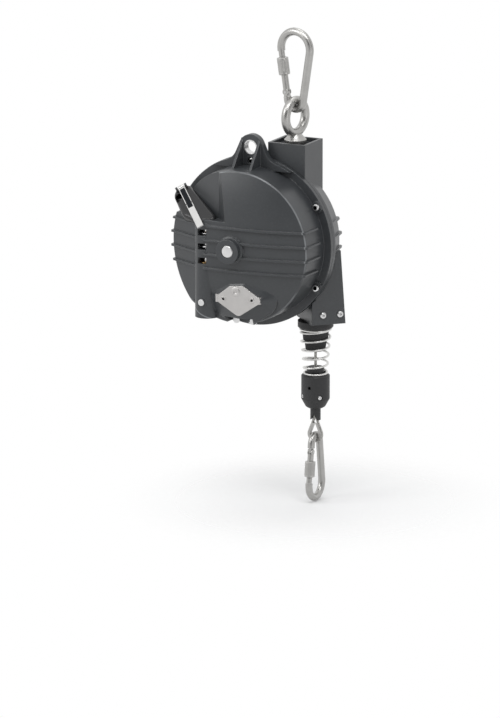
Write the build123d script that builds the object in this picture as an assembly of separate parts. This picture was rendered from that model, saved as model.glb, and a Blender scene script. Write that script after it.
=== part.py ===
from build123d import *
from math import asin, cos, hypot, pi, radians, sin, sqrt
import os

# A spring balancer for hanging tools. Millimetres, +Z up, the cover faces -Y.
# All pieces are drawn from the drum axis and moved once, at the end, so that
# the part's origin is the seat inside the bow of the top carabiner.

# Where the two vertical lines lie, measured from the drum axis
hang_x = 47.5
rope_x = 79.1
eye_stand = 10.5

# Casting: front cover and rear housing, round the drum
wall = 4.0
drum_flange_radius = 92.0
drum_room = 28.0
rim_radius = drum_flange_radius + drum_room
rim_lip = 13.0
face_radius = rim_radius - 12.0
cover_foot_radius = rim_radius - 11
dome_rise = 18.0
cover_depth = 77.2
cover_flange = 6.2
gasket = 0.8
parting_y = -28.0
joint_y = parting_y - gasket
face_y = joint_y - cover_depth + dome_rise
apex_y = joint_y - cover_depth
rear_y = 28.0
rear_radius = rim_radius - 15.0
bulge_radius = rim_radius - 32.0
bulge_y = 60.0
bulge_edge = 6.0
bulge_draft = 2.0
bulge_floor = 4.0
rear_flange = 7.0
rear_edge = 6.0
face_fillet = 2.5

# Belt of four ridges round the middle
rib_count = 4
rib_pitch = 20.0
rib_width = 3.0
rib_height = 3.0
rib_end = -50.0

# Sloped flank and sunken pad on the left of the cover
flank_angle = 27.0
flank_x = -(face_radius + 2.0)
flank_y = face_y + 21.0
pad_angle = 28.0
pad_start = Vector(-14.0, face_y - 12.0)
pad_bend = Vector(-28.0, face_y + 2.0)
pad_floor = 38.0

# Cover screws
screw_count = 6
screw_circle = rim_radius - 5.8
screw_radius = 3.0
screw_head_radius = 4.6
screw_head_height = 5.0
screw_grip = 23.0
screw_boss_radius = 8.0
screw_clearance = 0.05

# Column over the drum, which hangs on the eye bolt
column_width = 57.0
column_top = rim_radius + 20.0
bridge_drop = 6.0
bridge_thickness = 10.0

# Safety lug
lug_height = rim_radius + 14.0
lug_radius = 18.0
lug_foot = 31.0
lug_foot_drop = 30.0
lug_foot_radius = 2.0
lug_flare = 24.0
lug_front = -44.0
lug_thickness = 10.0
lug_bore = 10.2
bush_wall = 1.6
gusset_spread = 13.5
gusset_width = 3.5
gusset_reach = 34.0

# Shaft, bushes and drum
shaft_radius = 12.0
journal_radius = 10.0
bush_radius = 13.0
running_gap = 0.05
axial_gap = 0.3
boss_radius = 17.0
boss_base_radius = 19.5
boss_height = 12.0
bolt_head_radius = 8.6
bolt_head_height = 3.9
bolt_recess = 3.4
bolt_radius = 4.0

# Worm gear
gear_module = 2.0
wheel_teeth = 38
worm_pitch_radius = 8.0
wheel_width = 10.0
wheel_web = 4.0
wheel_hub_radius = 18.0
wheel_rim_radius = 33.0
gear_y = face_y + 1.0
tooth_play = 0.4
worm_length = 46.0
worm_neck_radius = 5.0
worm_housing_radius = 17.0
worm_housing_top = 33.0
worm_housing_bottom = -(rim_radius - 18.0)
worm_bush_length = 24.0
window_height = 9.0
window_width = 13.0
stop_screw_z = worm_housing_bottom + 23.0
stop_screw_radius = 4.6
stop_screw_seat = 0.8

# Rope and drum
rope_radius = 2.0
rope_turns = 4
rope_pitch = 4.4
cone_angle = 12.0
drum_front = -25.0
drum_width = 38.0
drum_flange = 3.0
drum_web = 5.0
drum_hub_radius = 20.0
drum_rim = 5.0
spring_case_radius = rim_radius - 42.0
spring_case_depth = 36.0
sheet = 2.5
spring_pitch = 2.6
spring_thickness = 2.1

# Rope outlet block, turned by 45 degrees about the rope
outlet_turn = 45.0
outlet_long = 64.0
outlet_deep = 50.0
outlet_shift = 8.0
outlet_bottom = -(rim_radius - 7.0)
outlet_height = 103.0
outlet_draft = 3.0
outlet_floor = 6.0
guide_height = 20.0
guide_screw_drop = 13.5
guide_screw_radius = 2.5
guide_screw_head = 4.75
guide_screw_length = 14.0
guide_screw_pitch = 25.0

# Guide flange, bumper and buffer spring under the outlet
guide_radius = 25.0
guide_thickness = 10.0
guide_spigot = 16.0
rope_bore = 3.2
bumper_top_radius = 18.8
bumper_low_radius = 16.0
bumper_top_height = 17.0
bumper_low_height = 16.0
buffer_wire = 1.5
buffer_top_radius = 21.5
buffer_low_radius = 16.0
buffer_turns = 5

# Rope clamp
clamp_top = outlet_bottom - 67.0
clamp_boss_radius = 12.0
clamp_boss = 10.0
clamp_radius = 20.0
clamp_height = 35.0
clamp_taper = 13.0
clamp_foot_radius = 14.0
clamp_screw_radius = 3.3
clamp_screw_z = clamp_top - 41.0
clamp_hole = 2.3
clamp_hole_z = clamp_top - 27.0
neck_radius = 7.3
neck_bottom = clamp_top - 76.0

# Carabiners: wire radius, overall length and width, centre radius of the small bow
top_wire = 5.5
top_length = 120.0
top_width = 60.0
top_neck = 13.0
low_wire = 5.0
low_length = 100.0
low_width = 51.0
low_neck = 13.0
hanger_turn = -10.0
contact_gap = 0.3
gate_clearance = 0.6
low_top = neck_bottom - 17.0

# Eye bolt
eye_wire = 6.25
eye_outer = 58.0
eye_collar = 15.5
eye_shank = 8.0
nut_width = 24.0
nut_height = 12.0
washer_thickness = 2.0

# Thimble
thimble_inner = 7.0
thimble_wall = 1.2
thimble_width = 6.0

# Lock lever on its black boss
lever_top = Vector(20 - rim_radius, face_y + 29, 69.5)
lever_reach = Vector(54, -49, -39.5)
lever_tip = lever_top + lever_reach
lever_width = 9.3
lever_thickness = 2.0
lever_pin = 2.0
lever_barrel = 4.2
lever_rim = 0.9
lever_channel = 36.0
lock_depth = 27.0

# Zinc plate on its raised seat under the drum axis, and the recess below it
plate_x = 3.5
plate_z = 39.0 - face_radius
plate_back = face_y - 16.0
plate_thickness = 2.0
plate_screw = 2.5
plate_screw_end = face_y - 7.0
seat_spread = 20.0
seat_back = face_y - 5.0
recess_x = 7.0
recess_width = 44.0
recess_top = 11.0 - face_radius
recess_floor = face_y + 16.0

# Worked out from the sizes above
BASE = (Align.CENTER, Align.CENTER, Align.MIN)
sphere = (face_radius ** 2 + dome_rise ** 2) / (2 * dome_rise)
wheel_pitch_radius = gear_module * wheel_teeth / 2
worm_x = -(wheel_pitch_radius + worm_pitch_radius)
rib_levels = [(i - (rib_count - 1) / 2) * rib_pitch for i in range(rib_count)]
bridge_top = column_top - bridge_drop
bridge_bottom = bridge_top - bridge_thickness
screw_y = joint_y - 9.0
shaft_front = apex_y - boss_height
guide_top = outlet_bottom
guide_bottom = guide_top - guide_thickness
clamp_bottom = clamp_top - clamp_boss - clamp_height - clamp_taper
wheel_front = gear_y - wheel_width / 2
wheel_back = gear_y + wheel_width / 2
drum_back = drum_front + drum_width
case_back = drum_back + spring_case_depth
seat_z = (bridge_top + eye_stand + eye_outer - 2 * eye_wire - contact_gap - 4 * top_wire + top_length)
worm_tip_radius = worm_pitch_radius + gear_module
worm_bore = worm_tip_radius + 0.6


def polygon(*points):
    return make_face(Polyline(*points, close=True))


def about_drum(*points):
    """Turn an outline of (radius, y) points about the drum axis."""
    return revolve(polygon(*points), Axis.Y)


def about_line(x, *points):
    """Turn an outline of (radius, z) points about the vertical line at x."""
    return Pos(x, 0, 0) * revolve(Plane.XZ * polygon(*points), Axis.Z)


def rod(start, end, radius):
    line = Vector(*end) - Vector(*start)
    return Plane(origin=start, z_dir=line) * Cylinder(radius, line.length, align=BASE)


def along_y(x, z, front, back, radius):
    return rod((x, front, z), (x, back, z), radius)


def upright(x, y, bottom, top, radius):
    return Pos(x, y, bottom) * Cylinder(radius, top - bottom, align=BASE)


def block(x0, x1, y0, y1, z0, z1):
    return Pos((x0 + x1) / 2, (y0 + y1) / 2, (z0 + z1) / 2) * Box(x1 - x0, y1 - y0, z1 - z0)


def screw_places():
    for i in range(screw_count):
        angle = radians(90 + i * 360 / screw_count)
        yield screw_circle * cos(angle), screw_circle * sin(angle)


def rib_slabs():
    return [block(-200, 200, -200, 200, z - rib_width / 2, z + rib_width / 2) for z in rib_levels]


# Front cover

def dome_y(radius, inset):
    return apex_y + inset + sphere - sqrt(sphere ** 2 - radius ** 2)


def flank_cut(inset):
    """Everything in front of the sloped left flank."""
    reach = 2 * rim_radius
    cutter = Box(2 * reach, reach, 2 * reach, align=(Align.CENTER, Align.MAX, Align.CENTER))
    return Pos(flank_x, flank_y, 0) * Rot(0, 0, -flank_angle) * Pos(0, inset, 0) * cutter


def pad_cut(inset):
    """Everything in front of the sunken pad: a steep step, then a plane that slopes to the left."""
    reach = 2 * rim_radius
    rise = sin(radians(pad_angle)) / cos(radians(pad_angle))
    far = pad_bend.Y + reach * rise
    plan = polygon((pad_start.X + 6, pad_start.Y - 6), (pad_bend.X, pad_bend.Y), (pad_bend.X - reach, far),
                   (pad_bend.X - reach, -reach), (pad_start.X + 6, -reach))
    plan = offset(plan, inset, kind=Kind.INTERSECTION)
    return Pos(0, 0, pad_floor - inset) * extrude(plan, reach)


def cover_form(inset):
    """The cover's outer form, moved inward by inset."""
    edge = face_radius - inset
    foot = cover_foot_radius - inset
    corner = (edge, dome_y(edge, inset))
    crown = ThreePointArc((0, dome_y(0, inset)), (edge / 2, dome_y(edge / 2, inset)), corner)
    rest = Polyline(corner, (foot, joint_y), (0, joint_y), (0, dome_y(0, inset)))
    outline = make_face(crown.edges() + rest.edges())
    outline = fillet(outline.vertices().sort_by_distance(corner)[0], face_fillet)
    form = revolve(outline, Axis.Y)
    form -= flank_cut(inset)
    form -= pad_cut(inset)
    return form


def lug():
    edges = (Pos(0, lug_height) * Circle(lug_radius)).edges()
    for side in (-1, 1):
        edges += (Pos(side * lug_foot, lug_height - lug_foot_drop) * Circle(lug_foot_radius)).edges()
    inside = rim_radius - 0.6
    plate = make_hull(edges) + Circle(inside)
    corners = [v for v in plate.vertices() if abs(hypot(v.X, v.Y) - inside) < 0.01 and v.Y > 0]
    plate = fillet(corners, lug_flare)
    plate -= Circle(face_radius + 1)
    plate &= Pos(0, lug_height) * Rectangle(4 * lug_foot, 2 * lug_foot)
    body = extrude(Plane.XZ.offset(-lug_front) * plate, -lug_thickness)
    for side in (-1, 1):
        gusset = polygon((lug_front + 2, lug_height + 12), (lug_front + 2, face_radius - 6),
                         (lug_front - gusset_reach, face_radius - 6))
        web = extrude(Plane.YZ.offset(side * gusset_spread) * gusset, gusset_width / 2, both=True)
        body += web
    return body


def worm_housing():
    body = upright(worm_x, gear_y, worm_housing_bottom, worm_housing_top, worm_housing_radius)
    return body


def plate_seat():
    """The raised seat of the zinc plate: it spreads toward the dome, so its sides slope."""
    front = Plane.XZ.offset(-plate_back) * plate_outline()
    back = Plane.XZ.offset(-seat_back) * offset(plate_outline(), seat_spread)
    return loft([front.face(), back.face()])


def recess(grow):
    """The open recess under the plate, or with grow the walls round it."""
    half = recess_width / 2 + grow
    return block(recess_x - half, recess_x + half, -rim_radius, recess_floor + grow, -rim_radius, recess_top + grow)


def front_cover():
    outer = cover_form(0)
    raised = cover_form(-rib_height)
    cover = outer
    raised &= block(-rim_radius, rim_radius, -rim_radius, rib_end, -rim_radius, rim_radius)
    for slab in rib_slabs():
        cover += raised & slab
    cover += lug()
    cover += about_drum((0, shaft_front), (boss_radius, shaft_front), (boss_radius, apex_y - 3),
                        (boss_base_radius, apex_y - 2), (boss_base_radius, apex_y + 3), (0, apex_y + 3))
    cover += about_drum((rim_radius - rim_lip, joint_y - cover_flange), (rim_radius, joint_y - cover_flange),
                        (rim_radius, joint_y), (rim_radius - rim_lip, joint_y))
    cavity = cover_form(wall)
    cover -= cavity
    cover += about_drum((rim_radius - rim_lip, joint_y - cover_flange), (rim_radius - 1, joint_y - cover_flange),
                        (rim_radius - 1, joint_y), (rim_radius - rim_lip, joint_y))
    disc = about_drum((0, apex_y), (rim_radius - 0.6, apex_y), (rim_radius - 0.6, joint_y - 1), (0, joint_y - 1))
    within = about_drum((0, face_y), (face_radius - 0.8, face_y), (cover_foot_radius - 0.8, joint_y - 1),
                        (0, joint_y - 1))
    for x, z in screw_places():
        cover += along_y(x, z, screw_y, joint_y, screw_boss_radius) & disc
    cover += plate_seat()
    cover += recess(wall) & within
    cover += along_y(0, 0, apex_y + 1, wheel_front - 4, boss_radius)
    cover += worm_housing()
    cover -= recess(0)
    cover -= plate_tab(0.5)
    for x, z in plate_screw_places():
        cover -= along_y(x, z, plate_back - 1, plate_screw_end + 0.5, plate_screw + screw_clearance)
    cover -= along_y(0, 0, shaft_front - 1, shaft_front + bolt_recess, bolt_head_radius + 0.6)
    cover -= along_y(0, 0, shaft_front + bolt_recess, wheel_front, bush_radius)
    cover -= along_y(0, 0, wheel_front - 1, wheel_back + 6, wheel_pitch_radius + gear_module + 1)
    cover -= upright(worm_x, gear_y, worm_housing_bottom - 1, worm_housing_top - wall, worm_bore)
    for level in (-rib_pitch, 0, rib_pitch):
        cover -= block(worm_x - window_width / 2, worm_x + window_width / 2, gear_y - 30, gear_y,
                       level - window_height / 2, level + window_height / 2)
    cover -= along_y(worm_x, stop_screw_z, gear_y - 30, gear_y, stop_screw_radius - 1.5)
    seat = gear_y - worm_housing_radius + stop_screw_seat
    cover -= along_y(worm_x, stop_screw_z, seat - 10, seat, stop_screw_radius + screw_clearance)
    for x, z in screw_places():
        cover -= along_y(x, z, screw_y - 12, screw_y, screw_head_radius + 0.5)
        cover -= along_y(x, z, screw_y - 1, joint_y + 1, screw_radius + screw_clearance)
    cover -= along_y(0, lug_height, lug_front - 1, lug_front + lug_thickness + 1, lug_bore)
    return cover


def lug_bush():
    back = lug_front + lug_thickness
    bush = along_y(0, lug_height, lug_front - 0.6, back + 0.6, lug_bore)
    return bush - along_y(0, lug_height, lug_front - 1, back + 1, lug_bore - bush_wall)


def flange_gasket():
    ring = about_drum((rim_radius - rim_lip, joint_y), (rim_radius, joint_y),
                      (rim_radius, parting_y), (rim_radius - rim_lip, parting_y))
    for x, z in screw_places():
        ring -= along_y(x, z, joint_y - 1, parting_y + 1, screw_radius + screw_clearance)
    return ring


def cover_screws():
    screws = []
    for x, z in screw_places():
        head = along_y(x, z, screw_y - screw_head_height, screw_y, screw_head_radius)
        screws.append(head + along_y(x, z, screw_y - 1, screw_y + screw_grip, screw_radius))
    return Compound(screws)


# Rear housing

def rear_form(inset):
    back = rear_y - inset
    end = bulge_y - inset
    bulge = bulge_radius - inset
    return about_drum((0, parting_y), (rim_radius - 3 - inset, parting_y), (rear_radius - inset, back - rear_edge),
                      (rear_radius - inset - rear_edge, back), (bulge, back), (bulge - bulge_draft, end - bulge_edge),
                      (bulge - bulge_draft - bulge_edge, end), (0, end))


def outlet_prism(inset, bottom, height, draft):
    plan = Rectangle(outlet_deep - 2 * inset, outlet_long - 2 * inset)
    solid = extrude(plan, height, taper=draft)
    return Pos(rope_x, 0, bottom) * Rot(0, 0, outlet_turn) * Pos(outlet_shift, 0, 0) * solid


def outlet_cavity(inset, bottom, height):
    cavity = outlet_prism(inset, bottom, height, outlet_draft)
    return cavity & block(-200, 200, parting_y + rear_flange + inset, 200, -200, 200)


def rear_housing():
    half = column_width / 2
    body = rear_form(0)
    raised = rear_form(-rib_height) & block(-200, 200, -200, rear_y, -200, 200)
    for slab in rib_slabs():
        body += raised & slab
    body += about_drum((rim_radius - 12, parting_y), (rim_radius, parting_y),
                       (rim_radius, parting_y + rear_flange), (rim_radius - 12, parting_y + rear_flange))
    body += block(hang_x - half, hang_x + half, parting_y, rear_y, 40, column_top)
    outlet = outlet_prism(0, outlet_bottom, outlet_height, outlet_draft)
    outlet -= about_drum((0, -90), (rim_radius + 1, -90), (rim_radius + 1, parting_y), (0, parting_y))
    body += outlet
    body -= rear_form(wall)
    body -= block(hang_x - half + wall, hang_x + half - wall, parting_y + wall, rear_y - wall, 50, column_top + 1)
    body -= outlet_cavity(wall, outlet_bottom + outlet_floor, outlet_height - outlet_floor - 2)
    body += about_drum((rim_radius - rim_lip, parting_y), (rim_radius - 4, parting_y),
                       (rim_radius - 4, parting_y + 4), (rim_radius - rim_lip, parting_y + 4))
    body += block(hang_x - half, hang_x + half, parting_y, rear_y, bridge_bottom, bridge_top)
    body -= upright(hang_x, 0, bridge_bottom - 1, bridge_top + 1, eye_shank + running_gap)
    for x, z in screw_places():
        body += along_y(x, z, parting_y, parting_y + 16, screw_boss_radius) & rear_form(0)
        body -= along_y(x, z, parting_y - 1, screw_y + screw_grip + 0.5, screw_radius + screw_clearance)
    body += along_y(0, 0, bulge_y - wall - bulge_floor, bulge_y - 1, bulge_radius - wall - bulge_edge - 2)
    body -= along_y(0, 0, bulge_y - wall - bulge_floor - 1, bulge_y - wall + 1.5, bush_radius)
    body -= upright(rope_x, 0, outlet_bottom - 1, outlet_bottom + outlet_floor + 1, guide_spigot)
    for cut in guide_screw_cuts():
        body -= cut
    return body


def outlet_frame(u, v, z):
    """Place something in the outlet block: u outward along its depth, v across it."""
    return Pos(rope_x, 0, z) * Rot(0, 0, outlet_turn) * Pos(u, v, 0)


def guide_screw_seats():
    face = -outlet_long / 2 + 0.8
    for i in range(2):
        yield outlet_frame(i * guide_screw_pitch, face, outlet_bottom + guide_screw_drop) * Rot(-90, 0, 0)


def guide_screw_cuts():
    cuts = []
    for seat in guide_screw_seats():
        cuts.append(seat * Pos(0, 0, -10) * Cylinder(guide_screw_head + 0.5, 10, align=BASE))
        cuts.append(seat * Pos(0, 0, -1) * Cylinder(guide_screw_radius + screw_clearance, 15, align=BASE))
    return cuts


def guide_screws():
    screws = []
    for seat in guide_screw_seats():
        head = Pos(0, 0, -3) * Cylinder(guide_screw_head, 3, align=BASE)
        shank = Pos(0, 0, -1) * Cylinder(guide_screw_radius, guide_screw_length, align=BASE)
        screws.append(seat * (head + shank))
    return Compound(screws)


def rope_guide():
    bottom = outlet_bottom + outlet_floor
    body = outlet_cavity(wall, bottom, guide_height)
    body -= outlet_frame(8, 40, bottom - 1) * Box(100, 50, guide_height + 2, align=BASE)
    body -= upright(rope_x, 0, bottom - 1, bottom + guide_height + 1, rope_bore)
    body -= about_line(rope_x, (0, bottom + 10), (rope_bore, bottom + 10), (9, bottom + guide_height),
                       (9, bottom + guide_height + 1), (0, bottom + guide_height + 1))
    for seat in guide_screw_seats():
        body -= seat * Pos(0, 0, -1) * Cylinder(guide_screw_radius + screw_clearance, guide_screw_length, align=BASE)
    return body


def guide_flange():
    spigot = guide_spigot - screw_clearance
    return about_line(rope_x, (rope_bore, guide_bottom), (guide_radius - 1.5, guide_bottom),
                      (guide_radius, guide_bottom + 1.5), (guide_radius, guide_top), (spigot, guide_top),
                      (spigot, guide_top + outlet_floor), (rope_bore, guide_top + outlet_floor))


def rope_bumper():
    step = guide_bottom - bumper_top_height
    low = step - bumper_low_height
    return about_line(rope_x, (rope_bore, guide_bottom), (bumper_top_radius, guide_bottom),
                      (bumper_top_radius - 1.2, step), (bumper_low_radius, step),
                      (bumper_low_radius - 2, low + 2), (bumper_low_radius - 4, low), (rope_bore, low))


# Shaft and worm gear

def journal_bush(front, back):
    return about_drum((journal_radius + running_gap, front), (bush_radius, front),
                      (bush_radius, back), (journal_radius + running_gap, back))


def front_bush():
    return journal_bush(shaft_front + bolt_recess + 0.5, wheel_front - 4)


def rear_bush():
    return journal_bush(bulge_y - wall - bulge_floor, bulge_y - wall + 1.5)


def main_shaft():
    front = shaft_front + bolt_recess
    shoulder = wheel_front - 4 + axial_gap
    back = bulge_y - wall - bulge_floor - axial_gap
    end = bulge_y - wall + 1
    shaft = about_drum((0, front), (journal_radius, front), (journal_radius, shoulder), (shaft_radius, shoulder),
                       (shaft_radius, wheel_back), (shaft_radius + 3, wheel_back), (shaft_radius + 3, wheel_back + 3),
                       (shaft_radius, wheel_back + 3), (shaft_radius, back), (journal_radius, back),
                       (journal_radius, end), (0, end))
    shaft -= along_y(0, 0, front - 1, front + 18, bolt_radius)
    shaft -= block(-2.5, 2.5, wheel_front + 0.5, wheel_back - 0.5, shaft_radius - 2.5, shaft_radius + 5)
    groove = case_back + axial_gap
    shaft -= about_drum((shaft_radius - 1, groove), (shaft_radius + 1, groove),
                        (shaft_radius + 1, groove + 1.5), (shaft_radius - 1, groove + 1.5))
    return shaft


def shaft_bolt():
    back = shaft_front + bolt_recess
    front = back - bolt_head_height
    crown = ThreePointArc((0, front), (bolt_head_radius * 0.5, front + 0.1), (bolt_head_radius - 1, front + 0.4))
    rest = Polyline((bolt_head_radius - 1, front + 0.4), (bolt_head_radius, front + 1.2), (bolt_head_radius, back),
                    (bolt_radius, back), (bolt_radius, back + 16), (0, back + 16), (0, front))
    return revolve(make_face(crown.edges() + rest.edges()), Axis.Y)


def tooth_outline(angle):
    """One gap between two wheel teeth, centred on the angle, as a closed outline."""
    pitch = pi * gear_module
    slope = sin(radians(20)) / cos(radians(20))
    root = wheel_pitch_radius - 1.25 * gear_module
    tip = wheel_pitch_radius + gear_module + 0.5
    middle = pitch / 4 + tooth_play / 2
    low = middle - 1.25 * gear_module * slope
    high = middle + (gear_module + 0.5) * slope
    corners = [(root, -low), (tip, -high), (tip, high), (root, low)]
    turned = []
    for radius, across in corners:
        turned.append((radius * cos(angle) - across * sin(angle), radius * sin(angle) + across * cos(angle)))
    return turned


def worm_wheel():
    disc = Circle(wheel_pitch_radius + gear_module)
    for i in range(wheel_teeth):
        gap = tooth_outline(pi + 2 * pi * i / wheel_teeth)
        disc -= polygon(*gap)
    slope = gear_module / 2 / worm_pitch_radius
    twist = slope * wheel_width / wheel_pitch_radius * 180 / pi
    section = (Plane.XZ.offset(-wheel_front) * disc).face()
    section = section.rotate(Axis.Y, -twist / 2)
    wheel = Solid.extrude_linear_with_rotation(section, (0, wheel_front, 0), (0, wheel_width, 0), twist)
    side = (wheel_width - wheel_web) / 2
    for front in (wheel_front - side, wheel_back - side):
        wheel -= about_drum((wheel_hub_radius, front), (wheel_rim_radius, front),
                            (wheel_rim_radius, front + 2 * side), (wheel_hub_radius, front + 2 * side))
    wheel -= along_y(0, 0, wheel_front - 1, wheel_back + 1, shaft_radius)
    wheel -= block(-2.5, 2.5, wheel_front - 1, wheel_back + 1, 0, shaft_radius + 2.5)
    return wheel


def wheel_key():
    return block(-2.5, 2.5, wheel_front + 0.5, wheel_back - 0.5, shaft_radius - 2.5, shaft_radius + 2.5)


def worm():
    lead = pi * gear_module
    slope = sin(radians(20)) / cos(radians(20))
    root = worm_pitch_radius - 1.25 * gear_module
    half = lead / 4 - tooth_play / 2
    inner = half + 1.4 * gear_module * slope
    outer = half - gear_module * slope
    length = worm_length - lead
    path = Helix(lead, length, root)
    thread_base = root - 0.15 * gear_module
    section = Plane.XZ * polygon((thread_base, -inner), (worm_tip_radius, -outer),
                                 (worm_tip_radius, outer), (thread_base, inner))
    thread = sweep(section, path=path, is_frenet=True)
    start = -round(length / 2 / lead) * lead
    body = Pos(worm_x, gear_y, start) * thread
    body += upright(worm_x, gear_y, -worm_length / 2, worm_length / 2, root)
    body += upright(worm_x, gear_y, worm_housing_bottom + 6, worm_length / 2 + 4, worm_neck_radius)
    hexagon = RegularPolygon(3, 6)
    body -= Pos(worm_x, gear_y, worm_housing_bottom + 5) * extrude(hexagon, 12)
    body -= Pos(worm_x, gear_y, stop_screw_z) * stop_groove()
    return body


def stop_groove():
    ring = Cylinder(worm_neck_radius + 1, 6) - Cylinder(worm_neck_radius - 1.2, 6)
    return ring


def worm_bush(bottom, top):
    ring = upright(worm_x, gear_y, bottom, top, worm_bore)
    return ring - upright(worm_x, gear_y, bottom - 1, top + 1, worm_neck_radius + running_gap)


def worm_bush_upper():
    return worm_bush(worm_length / 2 + axial_gap, worm_housing_top - wall)


def worm_bush_lower():
    top = -worm_length / 2 - axial_gap
    return worm_bush(top - worm_bush_length, top)


def worm_stop_screw():
    front = gear_y - worm_housing_radius
    tip = gear_y - worm_neck_radius + 0.8
    head = along_y(worm_x, stop_screw_z, front - 2.4, front + stop_screw_seat, stop_screw_radius)
    return head + along_y(worm_x, stop_screw_z, front, tip, stop_screw_radius - 1.6)


# Drum body

def drum_radius(y):
    """Radius of the drum under the rope; the rope leaves it at y = 0."""
    return rope_x - rope_radius - 0.05 + y * sin(radians(cone_angle)) / cos(radians(cone_angle))


def rope_drum():
    inner = drum_back - drum_web
    low = drum_front + drum_web
    high = drum_back - drum_web
    return about_drum((bush_radius + 1, drum_front), (drum_hub_radius, drum_front), (drum_hub_radius, inner),
                      (drum_radius(inner) - drum_rim, inner), (drum_radius(drum_front) - drum_rim, drum_front),
                      (drum_flange_radius, drum_front), (drum_flange_radius, drum_front + drum_flange),
                      (drum_radius(low), low), (drum_radius(high), high),
                      (drum_flange_radius, drum_back - drum_flange), (drum_flange_radius, drum_back),
                      (bush_radius + 1, drum_back))


def drum_bushes():
    rings = []
    for front in (drum_front, drum_back - 10):
        rings.append(about_drum((shaft_radius + running_gap, front), (bush_radius + 1, front),
                                (bush_radius + 1, front + 10), (shaft_radius + running_gap, front + 10)))
    return Compound(rings)


def drum_circlip():
    front = case_back + axial_gap
    ring = about_drum((shaft_radius - 1, front + 0.05), (shaft_radius + 3.5, front + 0.05),
                      (shaft_radius + 3.5, front + 1.45), (shaft_radius - 1, front + 1.45))
    return ring - block(-3, 3, front - 1, front + 2, -20, 0)


def wound_rope():
    height = rope_turns * rope_pitch
    start_radius = drum_radius(-height) + rope_radius + 0.05
    path = Helix(rope_pitch / cos(radians(cone_angle)), height, start_radius, cone_angle=cone_angle)
    start = path @ 0
    rope = sweep(Plane(origin=start, z_dir=path % 0) * Circle(rope_radius), path=path)
    return Pos(0, -height, 0) * Rot(-90, 0, 0) * rope


def spring_case():
    end = case_back - sheet
    return about_drum((drum_hub_radius, drum_back), (spring_case_radius, drum_back), (spring_case_radius, end),
                      (spring_case_radius - sheet, end), (spring_case_radius - sheet, drum_back + sheet),
                      (drum_hub_radius, drum_back + sheet))


def spring_lid():
    return about_drum((shaft_radius + 1, case_back - sheet), (spring_case_radius, case_back - sheet),
                      (spring_case_radius, case_back), (shaft_radius + 1, case_back))


def power_spring():
    """A flat spiral of half circles whose radius grows by half a pitch each."""
    inner = drum_hub_radius - 2
    outer = spring_case_radius - sheet - spring_thickness
    halves = int((outer - inner) / (spring_pitch / 2))
    half = spring_thickness / 2
    edges = [Line((inner - half, 0), (inner + half, 0)).edge()]
    radius = inner
    x = inner
    for i in range(halves):
        side = 1 if i % 2 == 0 else -1
        middle = x - side * radius
        for reach in (side * (radius - half), side * (radius + half)):
            edges.append(ThreePointArc((middle + reach, 0), (middle, reach), (middle - reach, 0)).edge())
        x = middle - side * radius
        radius += spring_pitch / 2
    edges.append(Line((x - half, 0), (x + half, 0)).edge())
    strip = make_face(edges)
    width = spring_case_depth - 2 * sheet - 2 * axial_gap
    return extrude(Plane.XZ.offset(-(case_back - sheet - axial_gap)) * strip, width)


# Eye bolt

def ring_centre():
    bow_bottom = seat_z + 2 * top_wire - top_length
    inside = bow_bottom + 2 * top_wire + contact_gap
    return inside + 2 * eye_wire - eye_outer / 2


def hanger(shape):
    return Pos(hang_x, 0, 0) * Rot(0, 0, hanger_turn) * shape


def eye_bolt():
    centre = ring_centre()
    ring = Pos(0, 0, centre) * Rot(0, 90, 0) * Torus(eye_outer / 2 - eye_wire, eye_wire)
    bottom = centre - eye_outer / 2
    stem = about_line(0, (0, bottom + 5), (eye_wire + 2, bottom + 5), (eye_collar - 3, bottom),
                      (eye_collar, bottom - 3), (eye_collar, bridge_top + axial_gap),
                      (eye_shank, bridge_top + axial_gap), (eye_shank, bridge_bottom - nut_height - 6),
                      (0, bridge_bottom - nut_height - 6))
    bolt = ring + stem
    bolt -= rod((-20, 0, pin_level()), (20, 0, pin_level()), 1.6)
    return hanger(bolt)


def pin_level():
    return bridge_bottom - washer_thickness - nut_height + 1


def thrust_washer():
    top = bridge_bottom
    ring = upright(hang_x, 0, top - washer_thickness, top, nut_width / 2 + 1)
    return ring - upright(hang_x, 0, top - washer_thickness - 1, top + 1, eye_shank + running_gap)


def eye_nut():
    top = bridge_bottom - washer_thickness - axial_gap
    nut = Pos(0, 0, top - nut_height) * extrude(RegularPolygon(nut_width / 2, 6, major_radius=False), nut_height)
    nut -= upright(0, 0, top - nut_height - 1, top + 1, eye_shank)
    nut -= rod((-20, 0, pin_level()), (20, 0, pin_level()), 1.6)
    return hanger(nut)


def nut_pin():
    return hanger(rod((-nut_width / 2 - 3, 0, pin_level()), (nut_width / 2 + 3, 0, pin_level()), 1.55))


# Carabiners, drawn in the XZ plane with the big bow up, its inside top at the
# origin and the gate on the left

def carabiner_points(wire, length, width, neck):
    big = width / 2 - wire
    gap = length - 2 * wire - big - neck
    tilt = asin((big - neck) / gap)
    top = wire - big
    low = top - gap
    points = {}
    for name, side in (("left", -1), ("right", 1)):
        points[name + "_top"] = Vector(side * big * cos(tilt), 0, top - big * sin(tilt))
        points[name + "_low"] = Vector(side * neck * cos(tilt), 0, low - neck * sin(tilt))
    points["crown"] = Vector(0, 0, top + big)
    points["foot"] = Vector(0, 0, low - neck)
    points["small_centre"] = Vector(0, 0, low)
    points["up"] = (points["left_top"] - points["left_low"]).normalized()
    points["hinge"] = points["left_low"] + points["up"] * (wire * 1.0)
    points["pivot"] = points["hinge"] + points["up"] * (wire * 1.15)
    points["shoulder"] = points["left_top"] - points["up"] * 1.0
    points["nose"] = points["shoulder"] - points["up"] * 8.0
    return points


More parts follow.
